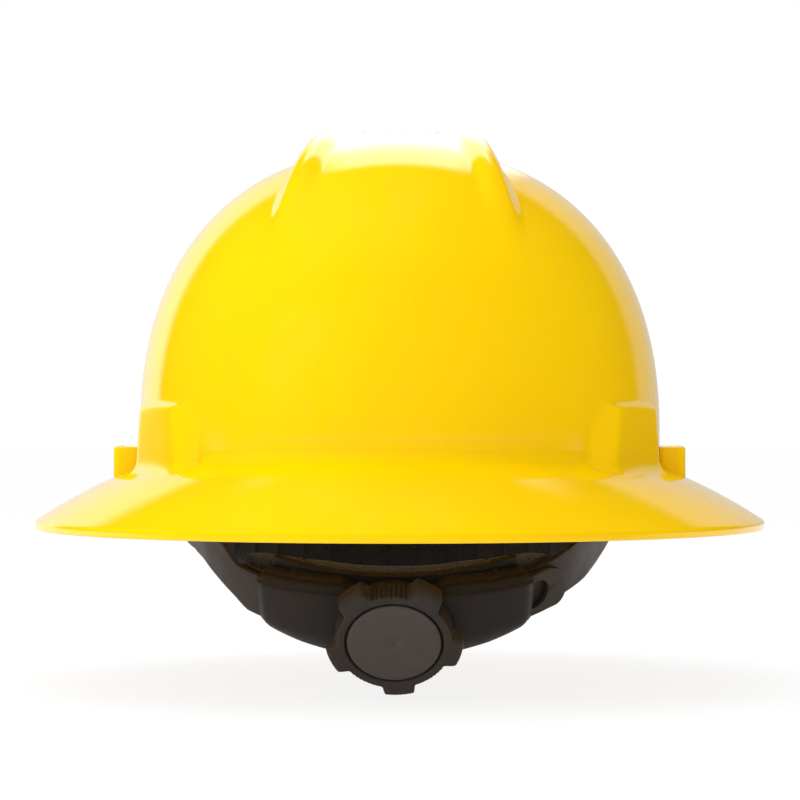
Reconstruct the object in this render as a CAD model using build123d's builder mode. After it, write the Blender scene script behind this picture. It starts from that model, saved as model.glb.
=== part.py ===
from build123d import *
import os
from math import atan2, cos, degrees, hypot, pi, radians, sin, sqrt

# A full brim hard hat with a four point suspension and a ratchet at the nape.
# Millimetres. The origin is the middle of the head opening, at the height of the brim's edge.
# +X is the wearer's right, +Y is forward, +Z is up.

# Crown of the shell
crown_half_width = 103.5
crown_half_length = 125
crown_rise = 114
crown_power = 2.3
shoulder_height = 37
shell_wall = 2.5

# Two raised ridges and the platform between them, above the crown
ridge_rise = 123.5
ridge_power = 2.6
platform_rise = 120.3
platform_power = 2.45
raised_half_width = 97
ridge_spread_rear = 60
ridge_rear_end = 122
ridge_front_end = 118
ridge_crest_width = 10.5
ridge_nose_end = 104
raised_seam = -80

# Brim
brim_half_width = 145
brim_rear_length = 160
brim_front_length = 166
brim_wall = 2.6
rim_height = 3.2
brim_bulge = 1.7
front_droop = 13
brim_root_side = 25
brim_root_rear = 31
brim_root_front = 19

# Socket bosses for the suspension keys
boss_front = (103, 43)
boss_corner = (88, 76)
boss_rear = (74, 90)
boss_low = 22.5
boss_high = 50
boss_top_chamfer = 3
socket_wall = 2.2
pocket_thickness = 3.6
pocket_width = 29.4
pocket_high = 45
mouth_reach = 8
mouth_high = 26

# Accessory lugs at the sides
lug_reach = 114
lug_length = 42
lug_low = 22
lug_high = 32.6
slot_length = 30
slot_width = 5
slot_wall = 2.2

# Clearances and cutting overruns
fit_gap = 0.3
running_gap = 0.06
overrun = 5

# Suspension keys
key_clearance = 0.3
key_width = 28.6
key_low = 0
key_high = 43
key_edge = 2
cheek_width = 2.4
cheek_low = 15
cheek_high = 23
cheek_reach = 9.2
bar_radius = 1.6
bar_drop = 6.2
bar_height = 19
stud_radius = 2.8
stud_collar_radius = 5
stud_head_radius = 3.8
stud_head_thickness = 0.9
stud_height = 10.5
tab_stand_off = 2.6
tab_play = 0.5

# Crown straps of webbing
strap_width = 19
strap_thickness = 1.2
strap_apex = 118
strap_start_height = 27
strap_tail_height = 38
strap_fold_gap = 0.4
strap_cross_gap = 1.1

# Headband
band_wall = 1.8
band_half_width = 83
band_front = 98
band_front_low = -26
band_front_high = 10
tab_low = -1.5
tab_high = 14.5
tab_end_run = 9
tab_waist_share = 0.965
tab_waist_y = 4
band_turn_share = 0.4
band_sag_share = 0.28

# Brow pad, folded round the front of the headband
pad_inner_thickness = 4
pad_outer_thickness = 1.6
pad_low_drop = 3
pad_start = 18
pad_rear_share = 0.45

# Nape adjustment: a ring round the wearer's neck, tilted back and down
nape_tilt = 30
nape_cone = 5
nape_centre_y = -26.1
nape_centre_z = 11.5

# Rack arms
arm_thickness = 1.8
arm_gap = 1.3
arm_half_height = 12
hinge_bead = 0.1
rack_half_height = 9.6
rack_start_angle = 57
rack_end_angle = 49.3
rack_run_out = 2
loop_flare = 0.3
rack_slot_half = 6.2
slot_end_step = 0.1
rack_slot_end_angle = 42.3
rack_slot_start_angle = 16
rack_tooth_height = 2.5
rack_tooth_root = 1.7
rack_tooth_tip = 0.8
rack_lead = 0.3
rack_rail_bite = 0.6
arm_depth_shares = (0, 0.1, 0.5, 0.9, 1)
arm_height_shares = (1, 1, 0.9, 0.5, 0)

# Pinion
pinion_teeth = 8
pinion_pitch_radius = 4.8
pinion_tip_radius = 5.7
pinion_root_radius = 3.4
pinion_tooth_root = 1.5
pinion_tooth_tip = 0.7
shaft_radius = 5
journal_radius = 3
drive_radius = 4
drive_flat = 3.2

# Ratchet housing and its back plate
channel_gap = 0.7
housing_wall = 2.5
housing_half_angle = 36
channel_run_out = 5
housing_half_height = 19
housing_roof_inset = 5
housing_roof_height = 11
housing_foot_height = 6
housing_foot_inset = 3
housing_corner = 7
hub_radius = 21.5
hub_face = 6.3
ring_outer_radius = 19.4
ring_inner_radius = 17.6
ring_height = 2.2
ring_teeth = 36
ring_tooth_depth = 0.9
plate_thickness = 2.4
plate_half_angle = 34
plate_half_height = 17

# Nape pad
nape_pad_thickness = 7.5
nape_pad_half_angle = 45
nape_pad_half_height = 17
nape_thick_shares = (0.35, 0.8, 1, 1, 1, 0.8, 0.35)
nape_high_shares = (0.7, 0.92, 1, 1, 1, 0.92, 0.7)
pad_edge_share = 0.45

# Knob and its cap
knob_radius = 25.75
knob_height = 8.9
knob_gap = 0.4
knob_lobes = 5
knob_first_lobe = 58
knob_scallop_radius = 13
knob_scallop_centre = 33.4
knob_edge = 1.3
knob_skin = 2.6
knob_hub_radius = 6.5
cap_radius = 17.4
cap_thickness = 1.8
cap_gap = 0.25
cap_edge = 0.4

# Pawl spring
pawl_thickness = 1.6
pawl_hub_radius = 9
pawl_tip_radius = 16.2
pawl_arm_width = 2
pawl_bend_share = 1.2

# Screws
knob_screw_radius = 1.5
knob_screw_length = 12
knob_screw_head_radius = 3.2
knob_screw_head_height = 1.2
plate_screw_radius = 1.2
plate_screw_length = 6
plate_screw_head_radius = 2.4
plate_screw_head_height = 1.1
plate_screw_angle = 27
plate_screw_rise = 14

# Places of the suspension, worked out from the bosses
face_run = (boss_front[0] - boss_corner[0], boss_corner[1] - boss_front[1])
face_length = hypot(face_run[0], face_run[1])
key_normal = (face_run[1] / face_length, face_run[0] / face_length)
face_middle = ((boss_front[0] + boss_corner[0]) / 2, (boss_front[1] + boss_corner[1]) / 2)
pocket_inset = socket_wall + pocket_thickness / 2
pocket_x = face_middle[0] - key_normal[0] * pocket_inset
pocket_y = face_middle[1] - key_normal[1] * pocket_inset
key_angle = degrees(atan2(key_normal[1], key_normal[0]))
strap_angle = degrees(atan2(pocket_y, pocket_x))
pocket_reach = hypot(pocket_x, pocket_y)
key_thickness = pocket_thickness - 2 * key_clearance
socket_block = 2 * socket_wall + pocket_thickness
strap_gap = bar_radius + fit_gap + strap_thickness / 2

# Where the inner sides of the two ridges meet
ridge_slope = ridge_spread_rear / (ridge_rear_end + ridge_front_end)
ridge_nose_start = ridge_front_end - ridge_crest_width / ridge_slope

# Frames of the nape adjustment
nape_forward = Vector(0, cos(radians(nape_tilt)), sin(radians(nape_tilt)))
nape_up = Vector(0, -sin(radians(nape_tilt)), cos(radians(nape_tilt)))
nape_centre = Vector(0, nape_centre_y, nape_centre_z)
nape_axis = Axis(nape_centre, nape_up)
knob_tilt = nape_tilt + nape_cone
knob_out = Vector(0, -cos(radians(knob_tilt)), -sin(radians(knob_tilt)))
knob_centre = nape_centre - nape_forward * band_half_width
knob_plane = Plane(origin=knob_centre, x_dir=(1, 0, 0), z_dir=knob_out)
arm_shift = (arm_thickness + arm_gap) / 2
channel_half = arm_shift + arm_thickness / 2 + channel_gap
channel_half_height = rack_half_height + channel_gap

corners = [(-1, -1), (1, -1), (-1, 1), (1, 1)]
corner_names = ["rear_left", "rear_right", "front_left", "front_right"]

os.makedirs("parts", exist_ok=True)


def save(solid, name):
    """Label a finished piece and write it."""
    solid.label = name
    export_step(solid, "parts/" + name + ".step")
    print(name, round(solid.volume), len(solid.solids()))


# Shell


def dome(half_width, half_length, rise, power, seam=0, steps=10):
    """A superellipse of revolution, stretched to an oval plan, with a straight skirt below."""
    skirt = -front_droop - overrun
    outline = []
    for step in range(steps + 1):
        turn = radians(90 * step / steps)
        out = half_width * cos(turn) ** (2 / power) if step < steps else 0
        up = rise * sin(turn) ** (2 / power)
        outline.append((out, shoulder_height + up))
    with BuildPart() as body:
        with BuildSketch(Plane.XZ):
            with BuildLine():
                Spline(*outline, tangents=((0, 1), (-1, 0)))
                Polyline(
                    outline[-1],
                    (0, skirt),
                    (half_width, skirt),
                    outline[0],
                )
            make_face()
        revolve(axis=Axis.Z)
    return scale(body.part.rotate(Axis.Z, seam), by=(1, half_length / half_width, 1))


def ridge_half(y, inset=0):
    """Half the width of the V that the ridges stand on, at a place along the hat."""
    return ridge_slope * (ridge_front_end - y) - inset


def raised(rise, power, wall, plan):
    """The part of a taller dome that stands inside an outline in plan."""
    half_width = raised_half_width - wall
    half_length = half_width * crown_half_length / crown_half_width
    tall = dome(half_width, half_length, rise - wall, power, raised_seam)
    with BuildPart() as body:
        add(tall)
        with BuildSketch(Plane.XY.offset(shoulder_height)):
            Polygon(*plan, align=None)
        extrude(amount=2 * rise, mode=Mode.INTERSECT)
    return body.part


def platform_plan(inset):
    """Outline in plan of the platform between the ridges."""
    rear = -ridge_rear_end
    front = ridge_nose_start
    return [
        (-ridge_half(rear, inset), rear),
        (-ridge_half(front, inset), front),
        (ridge_half(front, inset), front),
        (ridge_half(rear, inset), rear),
    ]


def leg_plan(side):
    """Outline in plan of one ridge, from the rear to where the two run together."""
    rear = -ridge_rear_end
    return [
        (side * ridge_half(rear), rear),
        (side * ridge_half(ridge_nose_start), ridge_nose_start),
        (side * ridge_half(ridge_nose_start, ridge_crest_width), ridge_nose_start),
        (side * ridge_half(rear, ridge_crest_width), rear),
    ]


def brim_section(turn):
    """One upright section of the brim, at a parametric angle round the hat from +X."""
    along = sin(radians(turn))
    across = cos(radians(turn))
    ahead = max(along, 0)
    brim_length = brim_front_length if along > 0 else brim_rear_length
    root_end = brim_root_front if along > 0 else brim_root_rear
    root = Vector(
        (crown_half_width - shell_wall / 2) * across,
        (crown_half_length - shell_wall / 2) * along,
        0,
    )
    edge = Vector(brim_half_width * across, brim_length * along, 0)
    run = (edge - root).length
    rim = -front_droop * ahead**2
    root_high = brim_root_side + (root_end - brim_root_side) * along**2
    plane = Plane(
        origin=root,
        x_dir=(edge - root).normalized(),
        z_dir=(edge - root).normalized().cross(Vector(0, 0, 1)),
    )
    with BuildSketch(plane) as section:
        with BuildLine():
            SagittaArc((0, root_high), (run, rim + rim_height), brim_bulge)
            Line((run, rim + rim_height), (run, rim))
            Line((run, rim), (run - brim_wall, rim))
            SagittaArc((run - brim_wall, rim), (0, root_high - brim_wall), -brim_bulge)
            Line((0, root_high - brim_wall), (0, root_high))
        make_face()
    return section.sketch


def brim():
    """The brim, lofted round one side of the hat and mirrored."""
    sections = [brim_section(turn) for turn in range(-105, 106, 15)]
    with BuildPart() as body:
        loft(sections)
        split(bisect_by=Plane.YZ, keep=Keep.TOP)
        mirror(about=Plane.YZ)
    return body.part


def boss(side, end):
    """A socket boss on the outside of the crown, with a rail block behind it."""
    inner = 1 - socket_block / hypot(*boss_front)
    plan = [
        (boss_front[0] * inner, boss_front[1] * inner),
        boss_front,
        boss_corner,
        boss_rear,
        (boss_rear[0] * inner, boss_rear[1] * inner),
    ]
    with BuildPart() as body:
        with BuildSketch(Plane.XY.offset(boss_low)):
            Polygon(*[(side * x, end * y) for x, y in plan], align=None)
        extrude(amount=boss_high - boss_low)
        top = body.faces().sort_by(Axis.Z)[-1]
        chamfer(top.edges(), boss_top_chamfer)
        with Locations(key_plane(side, end).location):
            Box(
                socket_block,
                face_length,
                boss_high - boss_low - boss_top_chamfer,
                align=(Align.CENTER, Align.CENTER, Align.MIN),
            )
    return body.part


def key_plane(side, end, height=boss_low):
    """Frame of a key: local X points out through the shell, Z is up."""
    return Plane(
        origin=(side * pocket_x, end * pocket_y, height),
        x_dir=(side * key_normal[0], end * key_normal[1], 0),
        z_dir=(0, 0, 1),
    )


crown = dome(crown_half_width, crown_half_length, crown_rise, crown_power)
hollow = dome(
    crown_half_width - shell_wall,
    crown_half_length - shell_wall,
    crown_rise - shell_wall,
    crown_power,
)
half_crest = ridge_crest_width / 2
platform = raised(platform_rise, platform_power, 0, platform_plan(half_crest))
nose_plan = [
    (-ridge_half(ridge_nose_start), ridge_nose_start),
    (-ridge_half(ridge_nose_end), ridge_nose_end),
    (ridge_half(ridge_nose_end), ridge_nose_end),
    (ridge_half(ridge_nose_start), ridge_nose_start),
]
ridges = [
    raised(ridge_rise, ridge_power, 0, plan)
    for plan in (leg_plan(-1), leg_plan(1), nose_plan)
]
brim_ring = brim()
bosses = [boss(side, end) for side, end in corners]

# The crown stops where the brim's underside meets it, lower in front than behind
foot_slope = (brim_root_rear - brim_root_front) / (2 * crown_half_length)
crown_foot = Plane(origin=(0, 0, brim_root_side - brim_wall), z_dir=(0, foot_slope, 1))

with BuildPart() as shell:
    add(crown)
    split(bisect_by=crown_foot, keep=Keep.TOP)
    add([platform, *ridges])
    add(brim_ring)
    add(bosses)
    for side in (-1, 1):
        with BuildSketch(Plane.XY.offset(lug_low)):
            with Locations((side * (lug_reach + crown_half_width - shell_wall) / 2, 0)):
                Rectangle(lug_reach - crown_half_width + shell_wall, lug_length)
        extrude(amount=lug_high - lug_low)
    add(hollow, mode=Mode.SUBTRACT)
    for side, end in corners:
        with Locations(key_plane(side, end, 0).location):
            Box(
                pocket_thickness,
                pocket_width,
                pocket_high,
                align=(Align.CENTER, Align.CENTER, Align.MIN),
                mode=Mode.SUBTRACT,
            )
        with Locations(key_plane(side, end, 0) * Pos(-mouth_reach / 2, 0, 0)):
            Box(
                mouth_reach,
                pocket_width,
                mouth_high,
                align=(Align.CENTER, Align.CENTER, Align.MIN),
                mode=Mode.SUBTRACT,
            )
    for side in (-1, 1):
        with Locations((side * (lug_reach - slot_wall - slot_width / 2), 0, 0)):
            Box(
                slot_width,
                slot_length,
                lug_high + overrun,
                align=(Align.CENTER, Align.CENTER, Align.MIN),
                mode=Mode.SUBTRACT,
            )
save(shell.part, "shell")


# Suspension keys


def key(side, end):
    """A key: a blade for the socket, a webbing bar inside, and a stud for the headband tab."""
    frame = key_plane(side, end, 0)
    strap_turn = -side * end * (key_angle - strap_angle)
    bar_frame = frame.rotated((0, 0, strap_turn))
    with BuildPart() as body:
        with BuildSketch(Plane(origin=frame.origin, x_dir=frame.y_dir, z_dir=frame.x_dir)):
            with Locations((0, (key_low + key_high) / 2)):
                Rectangle(key_width, key_high - key_low)
        extrude(amount=key_thickness / 2, both=True)
        top = body.faces().sort_by(Axis.Z)[-1]
        chamfer(top.edges().sort_by(SortBy.LENGTH)[:2], key_edge / 2)
        for edge_side in (-1, 1):
            cheek_middle = edge_side * (strap_width / 2 + fit_gap + cheek_width / 2)
            with Locations(bar_frame * Pos(-cheek_reach / 2, cheek_middle, cheek_low)):
                Box(
                    cheek_reach,
                    cheek_width,
                    cheek_high - cheek_low,
                    align=(Align.CENTER, Align.CENTER, Align.MIN),
                )
        with Locations(bar_frame * Pos(-bar_drop, 0, bar_height) * Rot(90, 0, 0)):
            Cylinder(bar_radius, strap_width + 2 * (fit_gap + cheek_width))
        stud_face = -key_thickness / 2 - tab_stand_off + tab_play
        head_face = stud_face - band_wall - 2 * tab_play
        for radius, start, finish in (
            (stud_collar_radius, 0, stud_face),
            (stud_radius, 0, head_face),
            (stud_head_radius, head_face, head_face - stud_head_thickness),
        ):
            with Locations(frame * Pos((start + finish) / 2, 0, stud_height) * Rot(0, 90, 0)):
                Cylinder(radius, start - finish)
    return body.part


for (side, end), corner in zip(corners, corner_names):
    save(key(side, end), "key_" + corner)


# Crown straps


def crown_strap(turn, apex):
    """One strap of webbing, from the bar of one key over the head to the opposite key."""
    bar_reach = pocket_reach - bar_drop
    start = bar_reach - strap_gap + fit_gap
    tail = start + strap_thickness + strap_fold_gap
    climb = apex - strap_start_height
    sphere = (start**2 + climb**2) / (2 * climb)
    tail_reach = tail - sphere + sqrt(sphere**2 - (strap_tail_height - apex + sphere) ** 2)
    tail_reach += sphere - start
    across = Vector(cos(radians(turn)), sin(radians(turn)), 0)
    plane = Plane(origin=(0, 0, 0), x_dir=across, z_dir=across.cross(Vector(0, 0, 1)))
    with BuildPart() as strap:
        with BuildSketch(plane):
            with BuildLine():
                ThreePointArc(
                    (-start, strap_start_height), (0, apex), (start, strap_start_height)
                )
            trace(line_width=strap_thickness)
            for side in (-1, 1):
                with BuildLine():
                    inner = side * (bar_reach - strap_gap)
                    outer = side * (bar_reach + strap_gap)
                    Line((side * start, strap_start_height), (inner, bar_height))
                    ThreePointArc(
                        (inner, bar_height),
                        (side * bar_reach, bar_height - strap_gap),
                        (outer, bar_height),
                    )
                    Line((outer, bar_height), (side * tail, strap_start_height))
                    Line(
                        (side * tail, strap_start_height),
                        (side * tail_reach, strap_tail_height),
                    )
                trace(line_width=strap_thickness)
        extrude(amount=strap_width / 2, both=True)
    return strap.part


save(crown_strap(strap_angle, strap_apex), "crown_strap_lower")
upper_apex = strap_apex + strap_thickness + strap_cross_gap
save(crown_strap(180 - strap_angle, upper_apex), "crown_strap_upper")


# Headband


def band_ring(low, high, outward, inward):
    """An upright oval ring round the head: the band's middle line, thickened both ways."""
    with BuildPart() as ring:
        with BuildSketch(Plane.XY.offset(low)):
            with Locations((0, nape_centre_y)):
                Ellipse(band_half_width + outward, band_front - nape_centre_y + outward)
                Ellipse(
                    band_half_width - inward,
                    band_front - nape_centre_y - inward,
                    mode=Mode.SUBTRACT,
                )
        extrude(amount=high - low)
    return ring.part


def band_side(rear_low, rear_high, front_low, front_high, grow):
    """The band seen from the side: a face in the YZ plane, swept across the whole width."""
    front = band_front + grow + overrun
    low_rear, high_rear = Vector(*rear_low), Vector(*rear_high)
    sag = (rear_low[1] - front_low) * band_sag_share
    with BuildPart() as side:
        with BuildSketch(Plane.YZ):
            with BuildLine():
                Spline(
                    (low_rear.X, low_rear.Y - grow),
                    (front * band_turn_share, rear_low[1] - sag - grow),
                    (front, front_low - grow),
                )
                Line((front, front_low - grow), (front, front_high + grow))
                Spline(
                    (front, front_high + grow),
                    (front * band_turn_share, (front_high + rear_high[1]) / 2 + grow),
                    (high_rear.X, high_rear.Y + grow),
                )
                Line((high_rear.X, high_rear.Y + grow), (low_rear.X, low_rear.Y - grow))
            make_face()
        extrude(amount=2 * band_half_width, both=True)
    return side.part


hinge_gap = arm_thickness / 2 + fit_gap
tail_low = nape_centre + nape_forward * hinge_gap - nape_up * arm_half_height
tail_high = nape_centre + nape_forward * hinge_gap + nape_up * arm_half_height
band_blank = band_ring(
    band_front_low - arm_half_height, tail_high.Z + arm_half_height, band_wall / 2, band_wall / 2
)
band_outline = band_side(
    (tail_low.Y, tail_low.Z), (tail_high.Y, tail_high.Z), band_front_low, band_front_high, 0
)


def tab_line(side):
    """Middle line of the strip that carries one side's two stud holes, seen from above."""
    reach = tab_stand_off + key_thickness / 2 + band_wall / 2
    stud_x = pocket_x - key_normal[0] * reach
    stud_y = pocket_y - key_normal[1] * reach
    run = (-key_normal[1] * tab_end_run, key_normal[0] * tab_end_run)
    rear = [
        (side * (stud_x + turn * run[0]), -(stud_y + turn * run[1])) for turn in (1, 0, -1)
    ]
    front = [(x, -y) for x, y in reversed(rear)]
    return rear, front


def headband_part():
    """The oval band, its two side strips and their stud holes."""
    with BuildPart() as band:
        add(band_blank)
        add(band_outline, mode=Mode.INTERSECT)
        for side in (-1, 1):
            rear, front = tab_line(side)
            waist = (side * (band_half_width * tab_waist_share), tab_waist_y)
            with BuildSketch(Plane.XY.offset(tab_low)):
                with BuildLine():
                    Spline(*rear, waist, *front)
                trace(line_width=band_wall)
            extrude(amount=tab_high - tab_low)
        for side, end in corners:
            frame = key_plane(side, end, 0)
            with Locations(frame * Pos(-tab_stand_off - overrun / 2, 0, stud_height) * Rot(0, 90, 0)):
                Cylinder(stud_radius + fit_gap, 2 * overrun, mode=Mode.SUBTRACT)
    return band.part


save(headband_part(), "headband")


# Brow pad


pad_blank = band_ring(
    band_front_low - 3 * pad_low_drop,
    band_front_high + overrun,
    band_wall / 2 + fit_gap + pad_outer_thickness,
    band_wall / 2 + fit_gap + pad_inner_thickness,
)
pad_outline = band_side(
    (pad_start, band_front_low * pad_rear_share),
    (pad_start, band_front_high),
    band_front_low - pad_low_drop,
    band_front_high - pad_low_drop,
    0,
)
pad_slot = band_ring(
    band_front_low - arm_half_height,
    tail_high.Z + arm_half_height,
    band_wall / 2 + fit_gap,
    band_wall / 2 + fit_gap,
)
pad_slot_outline = band_side(
    (tail_low.Y, tail_low.Z), (tail_high.Y, tail_high.Z), band_front_low, band_front_high, fit_gap
)
pad_channel = pad_slot & pad_slot_outline
with BuildPart() as brow_pad:
    add(pad_blank)
    add(pad_outline, mode=Mode.INTERSECT)
    add(pad_channel, mode=Mode.SUBTRACT)
save(brow_pad.part, "brow_pad")


# Nape adjustment


def nape_section(turn):
    """Upright plane through the nape ring's axis: local X is the radius, local Y is up."""
    out = Vector(sin(radians(turn)), 0, 0) - nape_forward * cos(radians(turn))
    return Plane(origin=nape_centre, x_dir=out, z_dir=out.cross(nape_up))


def nape_face(turn):
    """Plane square to the ring's wall: local X runs round the ring, local Z points out."""
    out = Vector(sin(radians(turn)), 0, 0) - nape_forward * cos(radians(turn))
    tilt = radians(nape_cone)
    normal = out * cos(tilt) - nape_up * sin(tilt)
    round_way = Vector(cos(radians(turn)), 0, 0) + nape_forward * sin(radians(turn))
    return Plane(origin=nape_centre + out * band_half_width, x_dir=round_way, z_dir=normal)


def wall_points(inner, outer, low, high, cone=nape_cone):
    """Corners of a wall section, from the ring's middle line, leaning by the cone angle."""
    lean = sin(radians(cone))
    return [
        (band_half_width + depth + rise * lean, rise)
        for depth, rise in ((inner, low), (outer, low), (outer, high), (inner, high))
    ]


def ring_sector(points, first, last):
    """A section swept round the nape ring between two angles, counted from the rear."""
    with BuildPart() as sector:
        with BuildSketch(nape_section(first)):
            Polygon(*points, align=None)
        revolve(axis=nape_axis, revolution_arc=last - first)
    return sector.part


def rack_arm(side, depth):
    """A rack arm, from its hinge line at the temple round to its closed loop at the rear."""
    inner = depth - arm_thickness / 2
    outer = depth + arm_thickness / 2
    stations = len(arm_depth_shares) - 1
    sections = []
    for station, (share, height_share) in enumerate(zip(arm_depth_shares, arm_height_shares)):
        turn = side * (90 - (90 - rack_start_angle) * station / stations)
        half = rack_half_height + (arm_half_height - rack_half_height) * height_share
        shift = depth * (share - 1)
        with BuildSketch(nape_section(turn)) as section:
            Polygon(
                *wall_points(inner + shift, outer + shift, -half, half, nape_cone * share),
                align=None,
            )
        sections.append(section.sketch)
    rack = ring_sector(
        wall_points(inner, outer, -rack_half_height, rack_half_height),
        min(side * rack_start_angle, -side * (rack_end_angle + rack_run_out)),
        max(side * rack_start_angle, -side * (rack_end_angle + rack_run_out)),
    )
    hinge = nape_centre + Vector(side * band_half_width, 0, 0)
    loop_radius = rack_half_height + loop_flare
    loop_round = degrees(loop_radius / band_half_width)
    slot_round = degrees(rack_slot_half / band_half_width)
    loop_face = nape_face(-side * (rack_end_angle - loop_round)).offset(depth)
    slot_first = nape_face(side * rack_slot_start_angle).offset(depth)
    slot_last = nape_face(-side * (rack_slot_end_angle - slot_round)).offset(depth)
    slot = ring_sector(
        wall_points(inner - overrun, outer + overrun, -rack_slot_half, rack_slot_half),
        min(side * rack_slot_start_angle, -side * (rack_slot_end_angle - slot_round)),
        max(side * rack_slot_start_angle, -side * (rack_slot_end_angle - slot_round)),
    )
    tooth_angle = degrees(2 * pi * pinion_pitch_radius / pinion_teeth / band_half_width)
    tooth_count = int((rack_slot_end_angle - slot_round) / tooth_angle)
    tooth_start = int(rack_slot_start_angle / tooth_angle)
    lead = degrees(rack_lead / band_half_width)
    with BuildPart() as arm:
        loft(sections)
        with Locations(Plane(origin=hinge, z_dir=nape_up).location):
            Cylinder(arm_thickness / 2 + hinge_bead, 2 * arm_half_height)
        add(rack)
        add(slot, mode=Mode.SUBTRACT)
        for place in (slot_first, slot_last):
            with Locations(place.location):
                Cylinder(rack_slot_half - slot_end_step, 2 * overrun, mode=Mode.SUBTRACT)
        with BuildSketch(loop_face):
            Rectangle(3 * rack_half_height, 3 * rack_half_height)
            Circle(loop_radius, mode=Mode.SUBTRACT)
            with Locations((side * 3 * rack_half_height / 2, 0)):
                Rectangle(3 * rack_half_height, 4 * rack_half_height, mode=Mode.SUBTRACT)
        extrude(amount=overrun, both=True, mode=Mode.SUBTRACT)
        for count in range(-tooth_count, tooth_start + 1):
            turn = side * (count * tooth_angle - lead)
            tall = side * rack_tooth_height
            top = -side * (rack_slot_half + rack_rail_bite)
            with BuildSketch(nape_face(turn).offset(inner + running_gap)):
                Polygon(
                    (-rack_tooth_root / 2, top),
                    (rack_tooth_root / 2, top),
                    (rack_tooth_tip / 2, -side * rack_slot_half + tall),
                    (-rack_tooth_tip / 2, -side * rack_slot_half + tall),
                    align=None,
                )
            extrude(amount=arm_thickness - 2 * running_gap)
    return arm.part


left_arm = rack_arm(-1, arm_shift)
right_arm = rack_arm(1, -arm_shift)
save(left_arm, "left_arm")
save(right_arm, "right_arm")


# Pinion, turned by the knob


def knob_level(height):
    """A plane square to the knob's axis, at a height from the racks' middle."""
    return knob_plane.offset(height)


back_face = -channel_half
front_face = channel_half
knob_base = hub_face + knob_gap
knob_top = knob_base + knob_height
floor_high = knob_top - cap_thickness - cap_gap
with BuildPart() as pinion:
    with BuildSketch(knob_level(back_face + channel_gap / 2)):
        Circle(pinion_root_radius)
        for tooth in range(pinion_teeth):
            with Locations(Rot(0, 0, 90 + 360 * (tooth + 1 / 2) / pinion_teeth)):
                Polygon(
                    (0, -pinion_tooth_root / 2),
                    (pinion_root_radius, -pinion_tooth_root / 2),
                    (pinion_tip_radius, -pinion_tooth_tip / 2),
                    (pinion_tip_radius, pinion_tooth_tip / 2),
                    (pinion_root_radius, pinion_tooth_root / 2),
                    (0, pinion_tooth_root / 2),
                    align=None,
                )
    extrude(amount=2 * channel_half - channel_gap)
    with BuildSketch(knob_level(front_face - channel_gap / 2)):
        Circle(shaft_radius)
    extrude(amount=knob_base - front_face + channel_gap / 2)
    with BuildSketch(knob_level(knob_base)):
        Circle(drive_radius)
        Rectangle(2 * drive_radius, 2 * drive_flat, mode=Mode.INTERSECT)
    extrude(amount=floor_high - knob_skin - knob_base + knob_skin / 2)
    with BuildSketch(knob_level(back_face + channel_gap / 2)):
        Circle(journal_radius)
    extrude(amount=-plate_thickness - channel_gap / 2)
    with BuildSketch(knob_level(floor_high)):
        Circle(knob_screw_radius + running_gap)
    extrude(amount=-knob_screw_length - fit_gap, mode=Mode.SUBTRACT)
save(pinion.part, "pinion")


# Ratchet housing with its wings

housing_outer = front_face + housing_wall
plate_outer = back_face - plate_thickness
housing_section = [
    (band_half_width + depth + rise * sin(radians(nape_cone)), rise)
    for depth, rise in (
        (back_face, -housing_half_height),
        (housing_outer - housing_foot_inset, -housing_half_height),
        (housing_outer, -housing_half_height + housing_foot_height),
        (housing_outer, housing_half_height - housing_roof_height),
        (housing_outer - housing_roof_inset, housing_half_height),
        (back_face, housing_half_height),
    )
]
housing_blank = ring_sector(housing_section, -housing_half_angle, housing_half_angle)
housing_channel = ring_sector(
    wall_points(back_face - overrun, front_face, -channel_half_height, channel_half_height),
    -housing_half_angle - channel_run_out,
    housing_half_angle + channel_run_out,
)
screw_faces = [
    (turn, rise) for turn in (-plate_screw_angle, plate_screw_angle) for rise in (-1, 1)
]
with BuildPart() as housing:
    add(housing_blank)
    for turn in (-housing_half_angle, housing_half_angle):
        outward = 1 if turn > 0 else -1
        with BuildSketch(nape_face(turn)):
            for rise in (-1, 1):
                with Locations((0, rise * housing_half_height)):
                    Rectangle(2 * housing_corner, 2 * housing_corner)
                with Locations((-outward * housing_corner, rise * (housing_half_height - housing_corner))):
                    Circle(housing_corner, mode=Mode.SUBTRACT)
                with Locations((-outward * 2 * housing_corner, rise * housing_half_height)):
                    Rectangle(2 * housing_corner, 3 * housing_corner, mode=Mode.SUBTRACT)
        extrude(amount=4 * overrun, both=True, mode=Mode.SUBTRACT)
    with BuildSketch(knob_level(0)):
        Circle(hub_radius)
    extrude(amount=hub_face)
    with BuildSketch(knob_level(hub_face)):
        Circle(ring_outer_radius)
        Circle(ring_inner_radius + ring_tooth_depth, mode=Mode.SUBTRACT)
    extrude(amount=ring_height)
    add(housing_channel, mode=Mode.SUBTRACT)
    with Locations(knob_plane.location):
        Cylinder(shaft_radius + running_gap, 4 * hub_face, mode=Mode.SUBTRACT)
    for turn, rise in screw_faces:
        with Locations(nape_face(turn).location * Pos(0, rise * plate_screw_rise, back_face)):
            Cylinder(
                plate_screw_radius + running_gap,
                2 * (plate_screw_length - plate_thickness + fit_gap),
                mode=Mode.SUBTRACT,
            )
save(housing.part, "ratchet_housing")


# Back plate of the housing

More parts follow.
